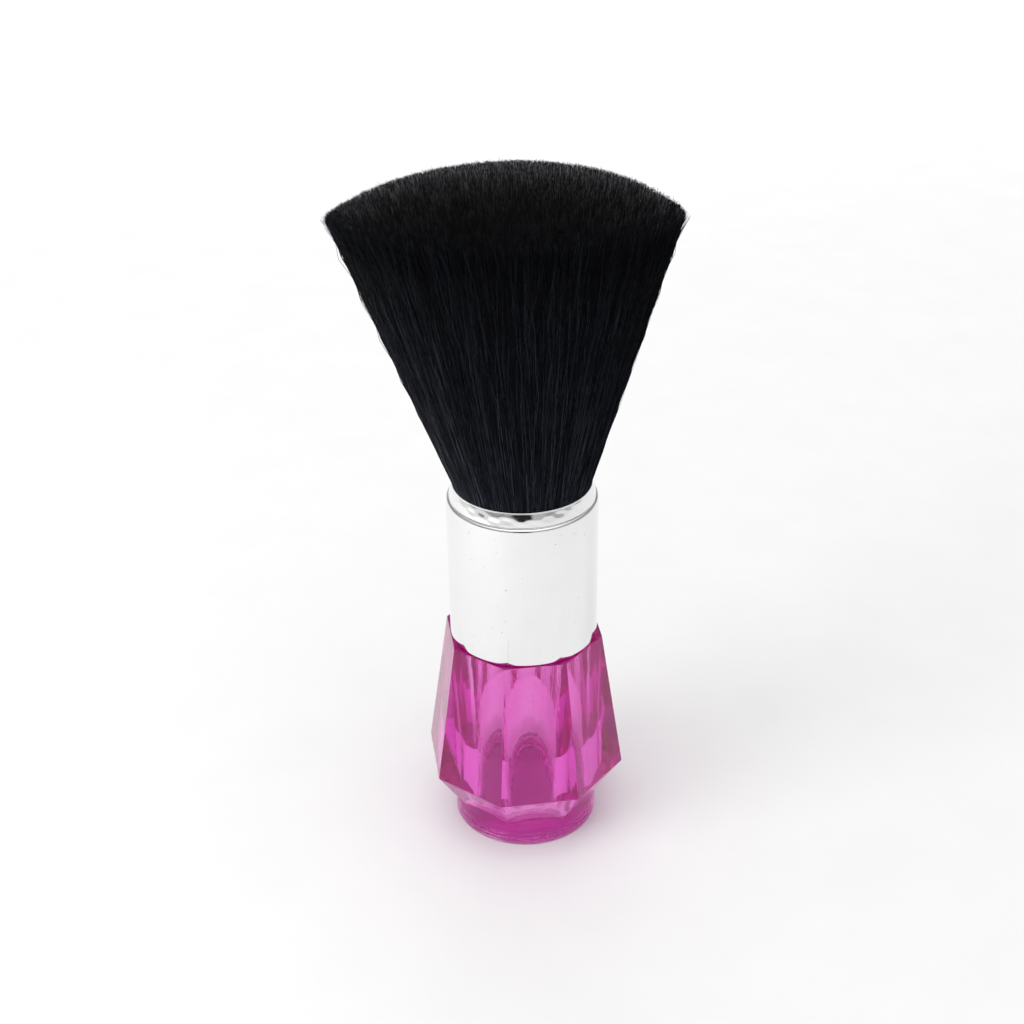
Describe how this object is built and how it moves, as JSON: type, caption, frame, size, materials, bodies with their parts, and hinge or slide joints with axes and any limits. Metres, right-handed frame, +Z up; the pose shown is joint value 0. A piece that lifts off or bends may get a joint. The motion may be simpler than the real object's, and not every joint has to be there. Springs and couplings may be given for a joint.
{
  "type": "neck duster brush",
  "caption": "Upright barber's neck duster: clear faceted acrylic handle on a round foot, polished round ferrule, and a wide fanned tuft of black nylon fibre.",
  "frame": {"origin": "centre of the foot's flat underside", "axes": "+Z up the handle's axis to the fibre tips; +X along the tuft's wide side; -Y is the front"},
  "size_m": [0.077, 0.049, 0.1697],
  "materials": {
    "clear_acrylic": "transparent magenta, polished",
    "polished_aluminium": "mirror polished with fine handling scratches",
    "adhesive": "cured clear adhesive",
    "resin": "cast amber resin",
    "thread": "twisted thread",
    "nylon_fibre": "black nylon fibre, soft sheen"
  },
  "bodies": {
    "root": {"handle_body": "clear_acrylic", "ferrule": "polished_aluminium", "neck_adhesive": "adhesive", "root_resin": "resin", "binding_thread": "thread", "bristle_tuft": "nylon_fibre"}
  },
  "joints": []
}
